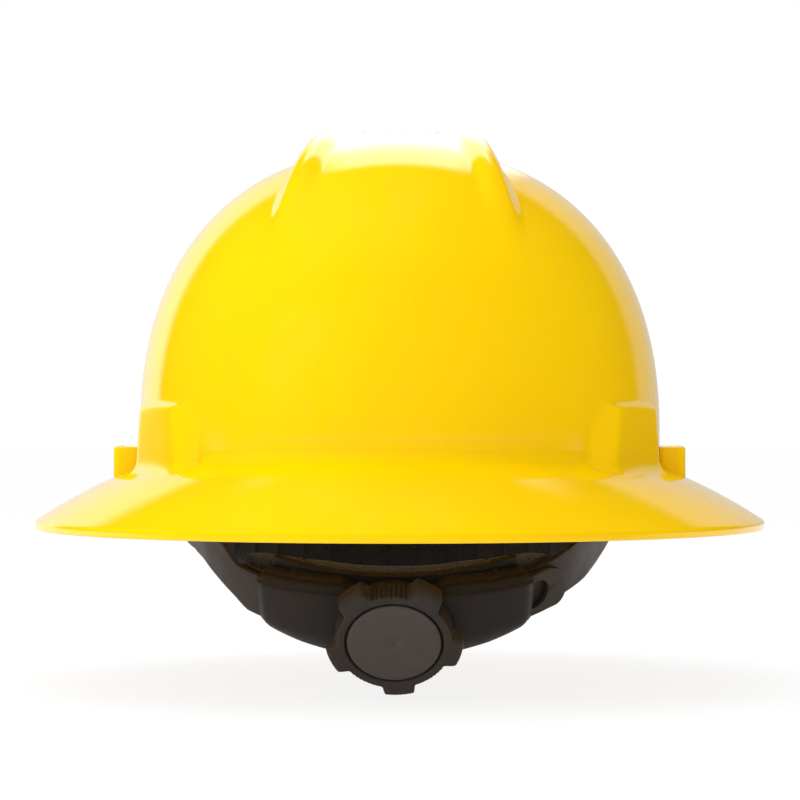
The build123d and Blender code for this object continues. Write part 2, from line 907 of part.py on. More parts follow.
plate_blank = ring_sector(
    wall_points(plate_outer, back_face, -plate_half_height, plate_half_height),
    -plate_half_angle,
    plate_half_angle,
)
with BuildPart() as back_plate:
    add(plate_blank)
    with Locations(knob_plane.location):
        Cylinder(journal_radius + running_gap, 6 * hub_face, mode=Mode.SUBTRACT)
    for turn, rise in screw_faces:
        place = nape_face(turn).location * Pos(0, rise * plate_screw_rise, plate_outer)
        with Locations(place):
            Cylinder(plate_screw_radius + running_gap, 4 * plate_thickness, mode=Mode.SUBTRACT)
            Cylinder(
                plate_screw_head_radius + fit_gap,
                2 * plate_screw_head_height,
                mode=Mode.SUBTRACT,
            )
save(back_plate.part, "ratchet_back_plate")

with BuildPart() as plate_screws:
    for turn, rise in screw_faces:
        place = nape_face(turn).location * Pos(0, rise * plate_screw_rise, plate_outer)
        with Locations(place):
            Cylinder(
                plate_screw_head_radius,
                plate_screw_head_height,
                align=(Align.CENTER, Align.CENTER, Align.MIN),
            )
            Cylinder(
                plate_screw_radius,
                plate_screw_length,
                align=(Align.CENTER, Align.CENTER, Align.MIN),
            )
save(plate_screws.part, "back_plate_screws")


# Nape pad, a soft cushion behind the back plate

pad_sections = []
for station, (thick_share, high_share) in enumerate(zip(nape_thick_shares, nape_high_shares)):
    turn = nape_pad_half_angle * (2 * station / (len(nape_thick_shares) - 1) - 1)
    pad_back = band_half_width + plate_outer - fit_gap
    half = nape_pad_half_height * high_share
    thick = nape_pad_thickness * thick_share
    edge = thick * pad_edge_share
    lean = sin(radians(nape_cone))
    with BuildSketch(nape_section(turn)) as section:
        with BuildLine():
            Line((pad_back + half * lean, half), (pad_back - half * lean, -half))
            Line((pad_back - half * lean, -half), (pad_back - edge - half * lean, -half))
            ThreePointArc(
                (pad_back - edge - half * lean, -half),
                (pad_back - thick, 0),
                (pad_back - edge + half * lean, half),
            )
            Line((pad_back - edge + half * lean, half), (pad_back + half * lean, half))
        make_face()
    pad_sections.append(section.sketch)
with BuildPart() as nape_pad:
    loft(pad_sections)
save(nape_pad.part, "nape_pad")


# Knob with its lobes, cap, pawl spring and screw

with BuildPart() as knob:
    with BuildSketch(knob_level(knob_base)):
        Circle(knob_radius)
        for lobe in range(knob_lobes):
            turn = knob_first_lobe + 360 * (lobe + 1 / 2) / knob_lobes
            with Locations(Rot(0, 0, turn) * Pos(knob_scallop_centre, 0)):
                Circle(knob_scallop_radius, mode=Mode.SUBTRACT)
    extrude(amount=knob_height)
    top = knob.faces().filter_by(Plane(origin=(0, 0, 0), z_dir=knob_out))
    top = top.sort_by(Axis((0, 0, 0), knob_out))[-1]
    chamfer(top.edges(), knob_edge)
    with BuildSketch(knob_level(knob_base)):
        Circle(ring_outer_radius + 2 * fit_gap)
        Circle(knob_hub_radius, mode=Mode.SUBTRACT)
    extrude(amount=ring_height + 2 * fit_gap, mode=Mode.SUBTRACT)
    with BuildSketch(knob_level(knob_top)):
        Circle(cap_radius + cap_gap)
    extrude(amount=-cap_thickness - cap_gap, mode=Mode.SUBTRACT)
    with BuildSketch(knob_level(knob_base)):
        Circle(drive_radius + running_gap)
        Rectangle(2 * knob_radius, 2 * (drive_flat + running_gap), mode=Mode.INTERSECT)
    extrude(amount=floor_high - knob_skin / 2 - knob_base + fit_gap, mode=Mode.SUBTRACT)
    with Locations(knob_level(floor_high).location):
        Cylinder(knob_screw_radius + running_gap, 4 * knob_skin, mode=Mode.SUBTRACT)
        Cylinder(
            knob_screw_head_radius + fit_gap,
            2 * (knob_screw_head_height + running_gap),
            mode=Mode.SUBTRACT,
        )
save(knob.part, "knob")

with BuildPart() as cap:
    with BuildSketch(knob_level(knob_top)):
        Circle(cap_radius)
    extrude(amount=-cap_thickness)
    chamfer(cap.edges().sort_by(Axis((0, 0, 0), knob_out))[-1], cap_edge)
save(cap.part, "knob_cap")

with BuildPart() as knob_screw:
    with BuildSketch(knob_level(floor_high)):
        Circle(knob_screw_head_radius)
    extrude(amount=-knob_screw_head_height)
    with BuildSketch(knob_level(floor_high)):
        Circle(knob_screw_radius)
    extrude(amount=-knob_screw_length)
save(knob_screw.part, "knob_screw")

with BuildPart() as pawl:
    with BuildSketch(knob_level(hub_face + knob_gap)):
        Circle(pawl_hub_radius)
        for turn in (0, 180):
            with Locations(Rot(0, 0, turn)):
                with BuildLine() as arm_line:
                    RadiusArc(
                        (pawl_hub_radius - pawl_arm_width, 0),
                        (0, pawl_tip_radius),
                        -pawl_tip_radius * pawl_bend_share,
                    )
                trace(line_width=pawl_arm_width)
        Circle(knob_hub_radius + fit_gap, mode=Mode.SUBTRACT)
    extrude(amount=pawl_thickness)
save(pawl.part, "pawl_spring")
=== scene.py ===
from math import atan2, cos, hypot, pi, radians, sin, sqrt

import bmesh
import bpy
import numpy as np
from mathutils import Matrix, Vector


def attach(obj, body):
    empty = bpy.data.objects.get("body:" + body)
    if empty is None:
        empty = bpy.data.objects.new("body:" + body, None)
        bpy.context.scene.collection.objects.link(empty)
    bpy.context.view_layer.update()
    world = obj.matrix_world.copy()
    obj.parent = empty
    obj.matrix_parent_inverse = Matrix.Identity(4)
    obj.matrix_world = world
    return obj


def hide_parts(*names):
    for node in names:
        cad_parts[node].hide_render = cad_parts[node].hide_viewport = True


# Looks of the full brim hard hat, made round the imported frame.
# Sizes are millimetres and angles are degrees where radians() isn't written.
# A mesh becomes metres where it is made. Domes are (half width, rise, power).

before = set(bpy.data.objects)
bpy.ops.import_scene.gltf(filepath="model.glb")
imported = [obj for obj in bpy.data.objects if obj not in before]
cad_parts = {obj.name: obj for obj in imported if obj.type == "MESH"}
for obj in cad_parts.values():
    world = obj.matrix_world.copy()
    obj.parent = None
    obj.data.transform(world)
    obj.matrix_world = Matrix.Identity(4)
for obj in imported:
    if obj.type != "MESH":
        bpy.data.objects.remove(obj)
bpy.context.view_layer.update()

MM = 0.001

# Crown, ridges and platform
crown_half_width = 103.5
crown_half_length = 125
crown_stretch = crown_half_length / crown_half_width
crown_rise = 114
crown_power = 2.3
shoulder_height = 37
shell_wall = 2.5
ridge_dome = (94.5, 123.5, 2.6)
platform_dome = (97, 120.3, 2.45)
ridge_slope = 0.25
ridge_front_end = 118
ridge_nose = (109, 99)
ridge_wall = (1.2, -6.3)
crest_inner = (-8.5, -18)
ridge_soften = 1.4

# Brim
brim_half_width = 145
brim_rear_length = 160
brim_front_length = 166
brim_wall = 2.6
rim_height = 3.2
brim_bulge = 1.7
front_droop = 13
brim_root_side = 25
brim_root_rear = 31
brim_root_front = 19
root_inset = 1.25
fillet_rear = 2.6
fillet_side = 5.8
fillet_landing = 0.9
rim_round = 1.6
rim_under_round = 0.6
under_landing = 0.5
under_end = 0.6
under_lift = 2.2

# Socket bosses: their outer face, rear face and ends in plan, and how steeply they end
boss_front = (103, 43)
boss_face = (33, 15)
boss_face_lean = 1.8
boss_edge_top = (85.5, 77.3)
boss_edge_low = (82, 88)
boss_rear_angle = 58
boss_end_top = 75
boss_end_low = 70
boss_low = 24
boss_high = 50
boss_foot_height = 26
boss_margin = 0.6
boss_end_slope = 2.5
boss_front_slope = 3
boss_top_slope = 1.35
boss_edge_soften = 1.2
boss_soften = 0.9
boss_least = 0.05
boss_ranges = ((17.5, 23), (31, 50))
fine_step, coarse_step = 0.25, 0.9

# Side lugs with their accessory slots
lug_reach = 114
lug_root = crown_half_width - 1.5
lug_length = 42
lug_low = 22
lug_high = 32.6
lug_skirt = 4
lug_corner = 3
lug_round = 0.9
lug_bow = 1.5
slot_length = 30
slot_width = 5
slot_corner = 1
slot_wall = 2.2
slot_middle = lug_reach - slot_wall - slot_width / 2
slot_cut = (5, 40)

# Key's socket: its middle in plan, its cut and the wider cut of its mouth
pocket = (91.86, 57.84)
socket_size = (3.6, 29.4)
socket_cut = (-5, 45)
mouth_size = (8, 29.3)
mouth_cut = (-5, 26)
mouth_shift = 4
sharp_angle = radians(42)

# Nape adjustment ring
nape_tilt = radians(30)
nape_cone = radians(5)
nape_centre = np.array((0, -26.1, 11.5))
band_half_width = 83
nape_forward = np.array((0, cos(nape_tilt), sin(nape_tilt)))
nape_up = np.array((0, -sin(nape_tilt), cos(nape_tilt)))
knob_tilt = nape_tilt + nape_cone
knob_out = np.array((0, -cos(knob_tilt), -sin(knob_tilt)))
knob_up = np.array((0, -sin(knob_tilt), cos(knob_tilt)))
knob_centre = nape_centre - nape_forward * band_half_width


# Mesh helpers


def between(first, second, share):
    """The value a share of the way from first to second."""
    return first + (second - first) * share


def ease(value, start, finish):
    """A smooth step from 0 at start to 1 at finish."""
    t = np.clip((value - start) / (finish - start), 0, 1)
    return t * t * (3 - 2 * t)


def soft_ramp(value, width):
    """Like max(value, 0), rounded over a width."""
    return (value + np.sqrt(value**2 + width**2)) / 2


def soft_min(first, second, width):
    """The smaller of two values, rounded where they cross."""
    return first - soft_ramp(first - second, width)


def make_object(name, points, faces, smooth=True):
    """A mesh object from points in millimetres."""
    mesh = bpy.data.meshes.new(name)
    mesh.from_pydata((np.asarray(points, float) * MM).tolist(), [], faces)
    mesh.validate()
    mesh.update()
    if smooth:
        mesh.polygons.foreach_set("use_smooth", [True] * len(mesh.polygons))
    made = bpy.data.objects.new(name, mesh)
    bpy.context.scene.collection.objects.link(made)
    return made


def ring_faces(rings, count):
    """Quads between neighbouring rings, each of count points."""
    faces = []
    for here in range(0, (rings - 1) * count, count):
        below = here + count
        for column in range(count):
            beside = (column + 1) % count
            faces.append((here + column, here + beside, below + beside, below + column))
    return faces


def flat_ended(rings, count):
    """Faces of a tube of rings with a flat face at each end."""
    last = (rings - 1) * count
    ends = [tuple(reversed(range(count))), tuple(range(last, last + count))]
    return ring_faces(rings, count) + ends


def point_ended(rings, count):
    """Faces of rings that close at each end on one of the two points after them."""
    faces = ring_faces(rings, count)
    last, first_end = (rings - 1) * count, rings * count
    for column in range(count):
        beside = (column + 1) % count
        faces.append((first_end, beside, column))
        faces.append((first_end + 1, last + column, last + beside))
    return faces


def fix_normals(piece):
    """Turns a closed mesh's faces outward."""
    mesh = bmesh.new()
    mesh.from_mesh(piece.data)
    bmesh.ops.recalc_face_normals(mesh, faces=mesh.faces)
    mesh.to_mesh(piece.data)
    mesh.free()


def modify(piece, kind, **values):
    """Adds a modifier with its values, and applies it."""
    modifier = piece.modifiers.new(kind, kind)
    for key, value in values.items():
        setattr(modifier, key, value)
    graph = bpy.context.evaluated_depsgraph_get()
    settled = bpy.data.meshes.new_from_object(piece.evaluated_get(graph))
    piece.modifiers.clear()
    piece.data = settled


def rounded_section(corners, steps):
    """Rounds the corners of a section, each given as (depth, rise, radius)."""
    loop = []
    for index, (depth, rise, radius) in enumerate(corners):
        here = np.array((depth, rise), float)
        legs = []
        for other in (corners[index - 1], corners[(index + 1) % len(corners)]):
            leg = np.array(other[:2], float) - here
            length = np.linalg.norm(leg)
            legs.append(leg / length * min(radius, length / 2))
        for share in np.linspace(0, 1, steps):
            loop.append(here + legs[0] * (1 - share) ** 2 + legs[1] * share**2)
    return np.array(loop)


def sweep(name, turns, place, section):
    """A closed section carried round by a placing function; it may change with the angle."""
    sections = [section(turn) for turn in turns]
    count = len(sections[0])
    points = [
        place(np.full(count, turn), loop[:, 0], loop[:, 1]) for turn, loop in zip(turns, sections)
    ]
    made = make_object(name, np.concatenate(points), flat_ended(len(turns), count))
    fix_normals(made)
    return made


def finish_piece(piece, material, body, replaced=()):
    """Gives a piece its material, its body and what it stands for."""
    piece.data.materials.clear()
    piece.data.materials.append(material)
    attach(piece, body)
    if replaced:
        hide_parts(*replaced)


# Materials

# Noises are given as features per metre and detail, and depths of bumps in metres.
noise_range = (0.35, 0.65)
shade_noise = (18, 3)
gloss_noise = (90, 4)
cover_noise = (40, 3)
knit_cells = 1100
knit_depth = 0.0003
weave_waves = (("X", 36, 1.2), ("Y", 52, 0.8))
weave_depth = 0.00018


def set_inputs(tree, node, inputs):
    """Gives a node's inputs plain values or other nodes' outputs."""
    for key, value in inputs.items():
        if isinstance(value, bpy.types.NodeSocket):
            tree.links.new(value, node.inputs[key])
        else:
            node.inputs[key].default_value = value


def add_node(tree, kind, inputs=None, **settings):
    """A shader node with its settings and inputs."""
    made = tree.nodes.new("ShaderNode" + kind)
    for key, value in settings.items():
        setattr(made, key, value)
    set_inputs(tree, made, inputs or {})
    return made


def new_material(name):
    """A node material, its tree and its Principled shader."""
    made = bpy.data.materials.new(name)
    made.use_nodes = True
    return made, made.node_tree, made.node_tree.nodes["Principled BSDF"]


def noise(tree, place, scale, detail):
    """Noise in features per metre."""
    inputs = {"Vector": place, "Scale": scale, "Detail": detail}
    return add_node(tree, "TexNoise", inputs).outputs["Fac"]


def map_range(tree, value, start, finish, low, high, kind="LINEAR"):
    """Maps a value's range from start to finish onto low to high."""
    inputs = {"Value": value, "From Min": start, "From Max": finish, "To Min": low, "To Max": high}
    return add_node(tree, "MapRange", inputs, interpolation_type=kind).outputs["Result"]


def mix(tree, share, first, second, kind="FLOAT"):
    """Mixes two numbers or colours by a share."""
    inputs = {"Factor": share, "A": first, "B": second}
    return add_node(tree, "Mix", inputs, data_type=kind).outputs["Result"]


def work_out(tree, operation, first, second):
    """One sum in a node tree."""
    return add_node(tree, "Math", {0: first, 1: second}, operation=operation).outputs[0]


def tint(tree, share, colour, other):
    """Mixes two colours by a share."""
    return mix(tree, share, (*colour, 1), (*other, 1), "RGBA")


def bump(tree, value, depth):
    """A bump of a real depth in metres."""
    return add_node(tree, "Bump", {"Height": value, "Distance": depth}).outputs["Normal"]


def plastic(name, colour, other, gloss, grain, grain_depth, specular=0.5, coat=0.0):
    """Moulded plastic: slow colour change, uneven gloss and the grain of the mould."""
    made, tree, shader = new_material(name)
    place = add_node(tree, "TexCoord").outputs["Object"]
    shade = map_range(tree, noise(tree, place, *shade_noise), *noise_range, 0, 1)
    patches = noise(tree, place, *gloss_noise)
    inputs = {
        "Base Color": tint(tree, shade, colour, other),
        "Roughness": map_range(tree, patches, *noise_range, *gloss),
        "Normal": bump(tree, noise(tree, place, grain, 2), grain_depth),
        "Specular IOR Level": specular,
        "Coat Weight": coat,
        "Coat Roughness": 0.06,
    }
    set_inputs(tree, shader, inputs)
    return made


def webbing(name, colour, other):
    """Narrow woven webbing: ribs across, yarns along, and a soft sheen."""
    made, tree, shader = new_material(name)
    place = add_node(tree, "UVMap").outputs["UV"]
    ribs, yarns = (
        add_node(
            tree,
            "TexWave",
            {"Vector": place, "Scale": scale, "Distortion": distortion},
            bands_direction=direction,
        ).outputs["Fac"]
        for direction, scale, distortion in weave_waves
    )
    weave = work_out(tree, "MULTIPLY", ribs, yarns)
    inputs = {
        "Base Color": tint(tree, weave, colour, other),
        "Normal": bump(tree, weave, weave_depth),
        "Roughness": 0.72,
        "Sheen Weight": 0.25,
    }
    set_inputs(tree, shader, inputs)
    return made


def cloth(name, colour, other, sheen):
    """Knitted cover over foam: small cells, slow shade changes and a sheen."""
    made, tree, shader = new_material(name)
    place = add_node(tree, "TexCoord").outputs["Object"]
    knit = {"Vector": place, "Scale": knit_cells}
    cells = add_node(tree, "TexVoronoi", knit).outputs["Distance"]
    shade = map_range(tree, noise(tree, place, *cover_noise), *noise_range, 0, 1)
    inputs = {
        "Base Color": tint(tree, shade, colour, other),
        "Normal": bump(tree, cells, knit_depth),
        "Roughness": 0.85,
        "Sheen Weight": sheen,
        "Sheen Roughness": 0.5,
    }
    set_inputs(tree, shader, inputs)
    return made


shell_yellow = plastic(
    "shell_yellow", (1.0, 0.63, 0.0005), (1.0, 0.605, 0.0005), (0.07, 0.12), 260, 0.00001, coat=0.3
)
housing_black = plastic(
    "housing_black",
    (0.02, 0.0145, 0.0115),
    (0.026, 0.019, 0.016),
    (0.36, 0.48),
    3200,
    0.00003,
    specular=0.25,
)
arm_black = plastic(
    "arm_black", (0.043, 0.032, 0.025), (0.051, 0.038, 0.03), (0.38, 0.5), 3000, 0.00003, 0.2
)
nylon_black = plastic(
    "nylon_black", (0.02, 0.016, 0.014), (0.028, 0.022, 0.02), (0.35, 0.5), 3000, 0.00003
)
knob_grey = plastic(
    "knob_grey", (0.04, 0.031, 0.026), (0.047, 0.037, 0.031), (0.44, 0.56), 3600, 0.00004, 0.3
)
cap_grey = plastic(
    "cap_grey", (0.074, 0.06, 0.056), (0.084, 0.068, 0.064), (0.45, 0.58), 4200, 0.00004, 0.4
)
strap_black = webbing("strap_black", (0.012, 0.012, 0.013), (0.045, 0.044, 0.046))
pad_black = cloth("pad_black", (0.024, 0.018, 0.015), (0.034, 0.027, 0.023), 0.3)
# The brow pad's cover is the nape pad's black cloth made about four times darker: partly its own
# black, partly painted shade for the shadow inside the crown.
brow_black_painted_shade = cloth("brow_black_painted_shade", (0.006, 0.005, 0.004), (0.01, 0.008, 0.007), 0.1)


# Shell


def dome_radius(out, up, half_width, rise, power):
    """Distance to a superelliptic dome along a direction, in the plan made round."""
    return ((out / half_width) ** power + (up / rise) ** power) ** (-1 / power)


def crown_points(around, up_angle):
    """Outer surface of the crown, with its ridges, for directions from the dome's centre."""
    out, up = np.cos(up_angle), np.sin(up_angle)
    plain = dome_radius(out, up, crown_half_width, crown_rise, crown_power)
    ridge = dome_radius(out, up, *ridge_dome)
    platform = dome_radius(out, up, *platform_dome)
    radius = plain
    for _ in range(3):
        x = np.abs(radius * out * np.cos(around))
        y = radius * out * np.sin(around) * crown_stretch
        beyond = (x - ridge_slope * (ridge_front_end - y)) / hypot(1, ridge_slope)
        inside = ease(beyond, *ridge_wall) * ease(y, *ridge_nose)
        raised = between(ridge, platform, ease(beyond, *crest_inner))
        radius = plain + inside * soft_ramp(raised - plain, ridge_soften)
    x, y = radius * out * np.cos(around), radius * out * np.sin(around) * crown_stretch
    return np.stack([x, y, shoulder_height + radius * up], axis=-1)


def hollow_points(up_angle):
    """Inner surface of the crown."""
    half_width, half_length = crown_half_width - shell_wall, crown_half_length - shell_wall
    out, up = cos(up_angle), sin(up_angle)
    radius = dome_radius(out, up, half_width, crown_rise - shell_wall, crown_power)
    x = radius * out * np.cos(turns)
    y = radius * out * np.sin(turns) * (half_length / half_width)
    return np.stack([x, y, np.full(columns, shoulder_height + radius * up)], -1)


def boss_height(points, outward):
    """How far a socket boss stands out of the crown at points on it, along the level way out."""
    x, y, z = np.abs(points[..., 0]), np.abs(points[..., 1]), points[..., 2]
    out_x, out_y = np.abs(outward[..., 0]), np.abs(outward[..., 1])
    low_share = np.clip((boss_high - z) / (boss_high - boss_low), 0, 1)

    def to_plane(normal, through, lean):
        """Distance along the way out to an upright plane through a point in plan."""
        reach = normal[0] * through[0] + normal[1] * through[1] - lean
        return (reach - normal[0] * x - normal[1] * y) / (normal[0] * out_x + normal[1] * out_y)

    face_normal = np.array(boss_face) / hypot(*boss_face)
    rear_normal = (cos(radians(boss_rear_angle)), sin(radians(boss_rear_angle)))
    edge = [between(top, low, low_share) for top, low in zip(boss_edge_top, boss_edge_low)]
    end = between(boss_end_top, boss_end_low, low_share)
    height = to_plane(face_normal, boss_front, boss_face_lean * (1 - low_share))
    for limit in (
        to_plane(rear_normal, edge, 0),
        (x - end) * boss_end_slope,
        (y - boss_front[1] + boss_margin) * boss_front_slope,
        (boss_high + boss_margin - z) * boss_top_slope,
    ):
        height = soft_min(height, limit, boss_edge_soften)
    return soft_ramp(height, boss_soften)


def shell_angles():
    """Angles round the hat, closer together at the ends and edges of the bosses."""
    quarter = []
    angle = 0.0
    while angle < 90 - coarse_step / 2:
        quarter.append(angle)
        near = any(first < angle < last for first, last in boss_ranges)
        angle += fine_step if near else coarse_step
    around = [90, 270]
    for start, sign in ((0, 1), (180, -1), (180, 1), (360, -1)):
        around += [start + sign * angle for angle in quarter]
    return np.radians(np.array(sorted(set(round(angle % 360, 5) for angle in around))))


def plan_oval(half_width, half_length):
    """Points in plan on an oval round the hat."""
    return np.stack([half_width * np.cos(turns), half_length * np.sin(turns)], -1)


turns = shell_angles()
columns = len(turns)
to_front = np.sin(turns)
surface = plan_oval(crown_half_width, crown_half_length)
root = plan_oval(crown_half_width - root_inset, crown_half_length - root_inset)
brim_length = np.where(to_front > 0, brim_front_length, brim_rear_length)
brim_edge = plan_oval(brim_half_width, brim_length)
run = np.linalg.norm(brim_edge - root, axis=-1)
outward = (brim_edge - root) / run[:, None]
rim = -front_droop * np.maximum(to_front, 0) ** 2
root_end = np.where(to_front > 0, brim_root_front, brim_root_rear)
root_high = between(brim_root_side, root_end, to_front**2)
level = np.stack([np.cos(turns) / crown_half_width, to_front / crown_half_length], -1)
level = level / np.linalg.norm(level, axis=-1, keepdims=True)


def brim_side(distance, reach, high, low):
    """Height of a side of the brim at a distance from the crown: an arc from high to low."""
    share = (distance + root_inset) / reach
    square = 1 / np.sqrt(1 + ((high - low) / run) ** 2)
    return between(high, low, share) + 4 * brim_bulge * share * (1 - share) * square


def brim_top(distance):
    """Height of the brim's upper side at a distance from the crown's surface."""
    return brim_side(distance, run, root_high, rim + rim_height)


def brim_under(distance):
    """Height of the brim's underside at a distance from the crown's surface."""
    return brim_side(distance, run - brim_wall, root_high - brim_wall, rim)


def ring_row(distance, height):
    """One row of points round the hat, out from the crown's surface."""
    flat = surface + outward * np.broadcast_to(distance, (columns,))[:, None]
    return np.concatenate([flat, np.broadcast_to(height, (columns,))[:, None]], axis=1)


# Rows of the shell: down over the crown and its bosses, out over the brim, round the rim and
# back under it, and up inside the crown. The rows are closest at the bosses' upper ends.
boss_tops = (4.5, 9)
up_angles = np.concatenate(
    [
        np.arange(0, boss_tops[0], 0.75),
        np.arange(*boss_tops, 0.3),
        np.arange(boss_tops[1], 89.9, 0.6),
    ]
)[::-1]
rows = []
for up_angle in up_angles:
    points = crown_points(turns, np.full(columns, radians(up_angle)))
    if up_angle < boss_tops[1]:
        points[:, :2] += level * boss_height(points, level)[:, None]
    rows.append(points)

boss_foot = np.column_stack([surface, np.full(columns, float(boss_foot_height))])
foot_reach = boss_height(boss_foot, level)
foot_reach = np.where(foot_reach > boss_least, foot_reach, 0)
foot_distance = np.einsum("ij,ij->i", level, outward) * foot_reach
fillet = between(fillet_rear, fillet_side, np.cos(turns) ** 2)
fillet_high = brim_top(foot_distance) + fillet
wall_steps = 10
for step in range(1, wall_steps + 1):
    height = shoulder_height + (fillet_high - shoulder_height) * step / wall_steps
    points = np.column_stack([surface, height])
    points[:, :2] += level * boss_height(points, level)[:, None]
    rows.append(points)
wall_foot = rows[-1]

corner = wall_foot.copy()
corner[:, 2] = brim_top(foot_distance)
brim_start = foot_distance + fillet * fillet_landing
landing = ring_row(brim_start, brim_top(brim_start))
for share in np.linspace(0, 1, 8)[1:]:
    near, middle, far = (1 - share) ** 2, 2 * share * (1 - share), share**2
    rows.append(wall_foot * near + corner * middle + landing * far)

rim_out = run - root_inset
rim_slope = np.arctan(brim_top(rim_out - 1) - brim_top(rim_out))
brim_finish = rim_out - rim_round * (1 - np.sin(rim_slope))
for share in np.linspace(0, 1, 26)[1:]:
    distance = between(brim_start, brim_finish, share)
    rows.append(ring_row(distance, brim_top(distance)))
for share in (0.2, 0.4, 0.6, 0.8, 1):
    turn = between(rim_slope, pi / 2, share)
    distance = brim_finish + rim_round * (np.sin(turn) - np.sin(rim_slope))
    drop = rim_round * (np.cos(rim_slope) - np.cos(turn))
    rows.append(ring_row(distance, brim_top(brim_finish) - drop))
rim_top = brim_top(brim_finish) - rim_round * np.cos(rim_slope)
for share in (0.4, 1):
    rows.append(ring_row(rim_out, between(rim_top, rim + rim_under_round, share)))
for turn in np.radians((30, 60, 90)):
    inset, lift = rim_under_round * (1 - cos(turn)), rim_under_round * (1 - sin(turn))
    rows.append(ring_row(rim_out - inset, rim + lift))
under_start = rim_out - brim_wall
rows.append(ring_row(under_start + under_landing, rim))
for share in np.linspace(0, 1, 18):
    distance = between(under_start, under_end, share)
    rows.append(ring_row(distance, brim_under(distance)))
for share in (0.35, 0.7, 1):
    distance = between(under_end, -shell_wall, share)
    rows.append(ring_row(distance, brim_under(distance) + under_lift * share**2))
inner_foot = rows[-1]
for share in (0.25, 0.6):
    rows.append(inner_foot * (1 - share) + hollow_points(0) * share)
for up_angle in np.radians(np.arange(0, 88, 4)):
    rows.append(hollow_points(up_angle))

apex = crown_points(np.array([0.0]), np.array([radians(90)]))
hollow_apex = [[0, 0, shoulder_height + crown_rise - shell_wall]]
faces = [tuple(reversed(face)) for face in point_ended(len(rows), columns)]
shell = make_object("shell_body", np.concatenate(rows + [apex, hollow_apex]), faces)


# Slots of the lugs and sockets of the keys, cut through the shell


def upright_box(middle, outward, size, low, high):
    """Corners of an upright box: its middle in plan, its way out, its depth and width."""
    out = np.array(outward, float) / np.linalg.norm(outward)
    along = np.array((-out[1], out[0]))
    corners = []
    for height in (low, high):
        for a, b in ((-1, -1), (1, -1), (1, 1), (-1, 1)):
            flat = np.array(middle) + out * a * size[0] / 2 + along * b * size[1] / 2
            corners.append((*flat, height))
    return corners


boxes = [
    upright_box((side * slot_middle, 0), (side, 0), (slot_width, slot_length), *slot_cut)
    for side in (-1, 1)
]
for quarter in ((-1, -1), (-1, 1), (1, -1), (1, 1)):
    way_out = np.array(quarter) * boss_face / hypot(*boss_face)
    place = np.array(quarter) * pocket
    boxes.append(upright_box(place, way_out, socket_size, *socket_cut))
    boxes.append(upright_box(place - way_out * mouth_shift, way_out, mouth_size, *mouth_cut))
box_faces = [(0, 3, 2, 1), (4, 5, 6, 7), (0, 1, 5, 4), (1, 2, 6, 5), (2, 3, 7, 6), (3, 0, 4, 7)]
for box in boxes:
    cutter = make_object("cutter", box, box_faces, smooth=False)
    modify(shell, "BOOLEAN", operation="DIFFERENCE", solver="EXACT", object=cutter)
    bpy.data.objects.remove(cutter)
shell.data.set_sharp_from_angle(angle=sharp_angle)
finish_piece(shell, shell_yellow, "helmet", ["shell"])


# Side lugs


def rounded_loop(half_x, half_y, corner):
    """A rounded rectangle in plan, counterclockwise from its first corner."""
    steps = 5
    loop = []
    for quarter, (sx, sy) in enumerate(((1, 1), (-1, 1), (-1, -1), (1, -1))):
        for step in range(steps + 1):
            turn = pi / 2 * (quarter + step / steps)
            x = sx * (half_x - corner) + corner * cos(turn)
            loop.append((x, sy * (half_y - corner) + corner * sin(turn)))
    return np.array(loop)


def lug_points(side):
    """A side lug round its slot, as rings from the slot's foot over the top and down outside."""
    outer = rounded_loop((lug_reach - lug_root) / 2, lug_length / 2, lug_corner)
    inner = rounded_loop(slot_width / 2, slot_length / 2, slot_corner)
    inner_sizes = (
        (0, lug_low),
        (0, lug_high - lug_round),
        (0.25, lug_high - 0.3),
        (lug_round, lug_high),
    )
    outer_sizes = (
        (-lug_round, lug_high),
        (-0.3, lug_high - 0.25),
        (0, lug_high - lug_round),
        (0, lug_low - lug_skirt),
    )
    lug_middle = (lug_reach + lug_root) / 2
    bow = lug_bow * (outer[:, 0] > 0) * (2 * outer[:, 1] / lug_length) ** 2
    rings = []
    for loop, middle, sizes, inward in (
        (inner, slot_middle, inner_sizes, 0),
        (outer, lug_middle, outer_sizes, bow),
    ):
        for grow, height in sizes:
            plan = loop * (1 + grow / np.abs(loop).max(axis=0)) + (middle, 0)
            x = side * (plan[:, 0] - inward)
            rings.append(np.column_stack([x, plan[:, 1], np.full(len(plan), height)]))
    return rings


for side, name in ((-1, "lug_left"), (1, "lug_right")):
    rings = lug_points(side)
    faces = ring_faces(len(rings), len(rings[0]))
    if side > 0:
        faces = [tuple(reversed(face)) for face in faces]
    lug = make_object(name, np.concatenate(rings), faces)
    finish_piece(lug, shell_yellow, "helmet", ())


# Ratchet housing with its wings

channel_half = 3.15
channel_high = 10.3
housing_turn = 36
wing_outer = 5.6
wing_turns = (0, 8.5, 11, 13, 16.7, 24.5, 30, 36)
wing_top = (12, 12.2, 14.6, 16.6, 16.5, 15.4, 14.4, 13.4)
wing_ridge = (8.6, 8.8, 10.6, 11.2, 10.4, 9, 8, 7.2)
wing_foot = (-10, -10, -10, -10, -10, -9.8, -9.5, -8.5)
wing_low = (-17.5, -17.3, -17.2, -16.9, -16.4, -15.2, -13.8, -12)
wing_end_run = 2.2
wing_end_round = (1.1, 1.6, 1.0)
wing_last_turns = np.array((34.5, 35.2, 35.7, housing_turn))


def ring_point(turn, depth, rise):
    """A point of the nape ring's wall: angle from the rear, depth outward, height up the wall."""
    turn, depth, rise = np.broadcast_arrays(np.radians(turn), depth, rise)
    out = np.multiply.outer(np.sin(turn), (1, 0, 0)) - np.multiply.outer(np.cos(turn), nape_forward)
    radius = band_half_width + depth + rise * sin(nape_cone)
    return nape_centre + out * radius[..., None] + np.multiply.outer(rise, nape_up)


